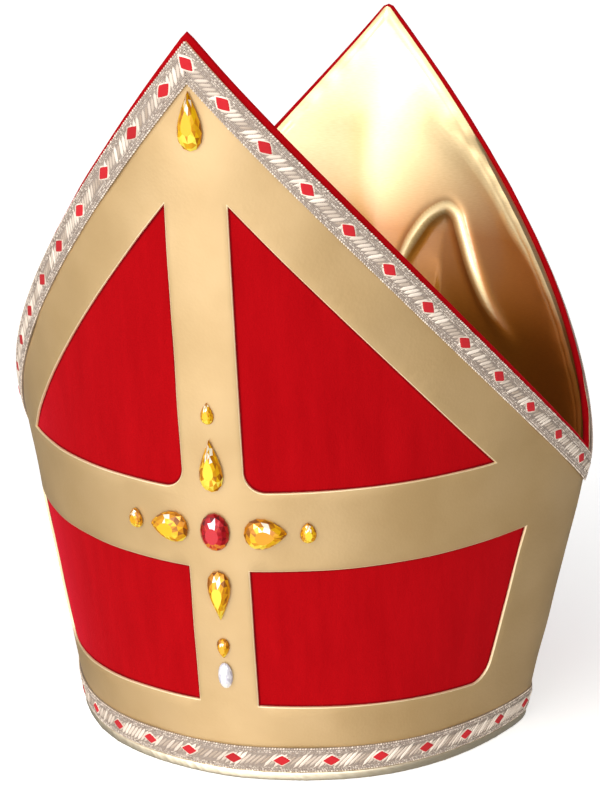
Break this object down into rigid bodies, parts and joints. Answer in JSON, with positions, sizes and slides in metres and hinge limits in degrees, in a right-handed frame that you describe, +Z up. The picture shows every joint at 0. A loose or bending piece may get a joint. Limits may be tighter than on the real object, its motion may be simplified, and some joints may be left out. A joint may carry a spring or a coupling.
{
  "type": "bishop mitre",
  "caption": "Two-horned costume mitre: velvet panels with a gold cross overlay, diamond braid, glued faceted stones and a satin-lined open head hollow.",
  "frame": {"origin": "centre of the lower rim's rectangle, on the surface that the mitre rests on", "axes": "+Z up along the mitre's height, -Y the front with the stones, +X to the wearer's left; the left and right halves mirror each other in X"},
  "size_m": [0.263, 0.3063, 0.3138],
  "materials": {
    "velvet": "red cotton velvet, short pile",
    "gold_leatherette": "metallic gold coated leatherette, fine grain, satin",
    "gold_satin": "gold polyester satin, glossy",
    "binding_satin": "rolled gold satin, glossy",
    "silver_braid": "woven metallic silver braid with red diamonds",
    "amber_stone": "faceted amber acrylic, foil-backed",
    "ruby_stone": "faceted red acrylic, foil-backed",
    "clear_stone": "faceted clear acrylic, foil-backed"
  },
  "bodies": {
    "root": {"front_panel": "velvet", "back_panel": "velvet", "front_overlay": "gold_leatherette", "back_overlay": "gold_leatherette", "front_lining": "gold_satin", "back_lining": "gold_satin", "front_braid_left": "silver_braid", "front_braid_right": "silver_braid", "back_braid_left": "silver_braid", "back_braid_right": "silver_braid", "base_braid": "silver_braid", "rim_binding": "binding_satin", "stone_top_drop": "amber_stone", "stone_drop_up": "amber_stone", "stone_small_up": "amber_stone", "stone_drop_left": "amber_stone", "stone_small_left": "amber_stone", "stone_drop_right": "amber_stone", "stone_small_right": "amber_stone", "stone_drop_down": "amber_stone", "stone_small_down": "amber_stone", "stone_centre": "ruby_stone", "stone_clear": "clear_stone"}
  },
  "joints": []
}
